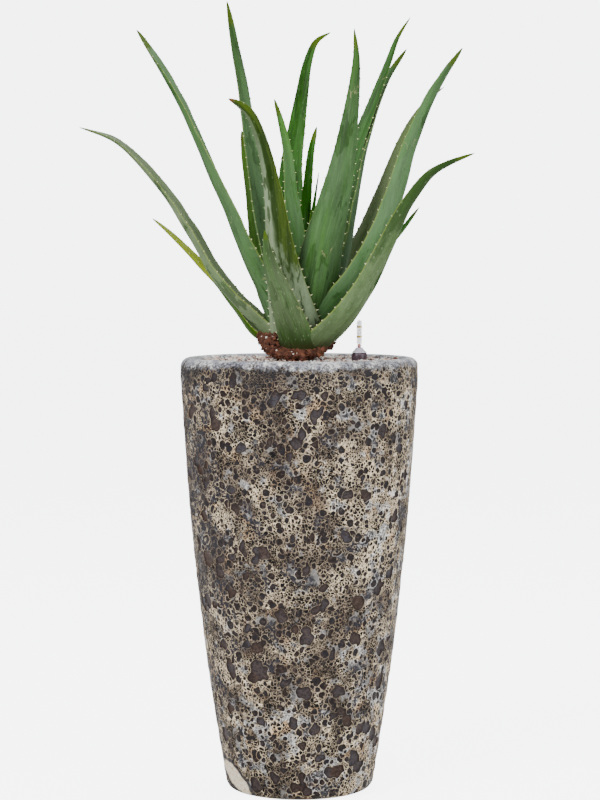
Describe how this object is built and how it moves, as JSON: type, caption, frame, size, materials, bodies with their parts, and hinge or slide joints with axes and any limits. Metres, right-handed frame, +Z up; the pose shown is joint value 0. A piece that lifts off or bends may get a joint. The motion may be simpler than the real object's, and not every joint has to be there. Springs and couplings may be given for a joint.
{
  "type": "potted aloe vera",
  "caption": "Aloe vera rosette of long toothed leaves in a tall tapered ceramic planter with a gravel dressing and a water gauge.",
  "frame": {"origin": "centre of the pot's flat underside", "axes": "+Z up along the pot's axis, -Y towards the side the picture shows, +X to that view's right"},
  "size_m": [0.559, 0.354, 1.14],
  "materials": {
    "pot": "dark and beige pitted lava glaze, satin",
    "growing_medium": "moist mineral and peat mix, matte",
    "gravel": "crushed gravel in mixed pale pinks, blue whites and browns, matte",
    "root_ball": "crumbly red brown soil, matte",
    "stem": "pale green brown, matte",
    "leaf": "fleshy, waxy grey green with paler toothed margins",
    "gauge_pipe": "black, matte",
    "gauge_collar": "dark plum brown, satin",
    "gauge_hood": "clear, tinted lilac grey",
    "gauge_tube": "clear plastic with two yellow marks",
    "gauge_float": "orange tip over dark red"
  },
  "bodies": {
    "planter": {"pot": "pot", "growing_medium": "growing_medium", "gravel": "gravel", "root_ball": "root_ball", "stem": "stem", "gauge_pipe": "gauge_pipe", "gauge_collar": "gauge_collar", "gauge_hood": "gauge_hood", "gauge_tube": "gauge_tube", "leaf_heart_right": "leaf", "leaf_heart_mid": "leaf", "leaf_heart_left": "leaf", "leaf_broad_centre": "leaf", "leaf_tall_left": "leaf", "leaf_right_upright": "leaf", "leaf_back_right": "leaf", "leaf_back_tall": "leaf", "leaf_right_long": "leaf", "leaf_upper_left": "leaf", "leaf_front_curl": "leaf", "leaf_right_brown": "leaf", "leaf_back_left": "leaf", "leaf_far_left": "leaf", "leaf_right_front": "leaf", "leaf_low_right": "leaf", "leaf_low_left": "leaf", "leaf_front_short": "leaf"},
    "float": {"gauge_float": "gauge_float"}
  },
  "joints": [
    {"name": "float_rise", "type": "slide", "parent": "planter", "child": "float", "axis": [0, 0, 1], "range_m": [0, 0.0246]}
  ]
}
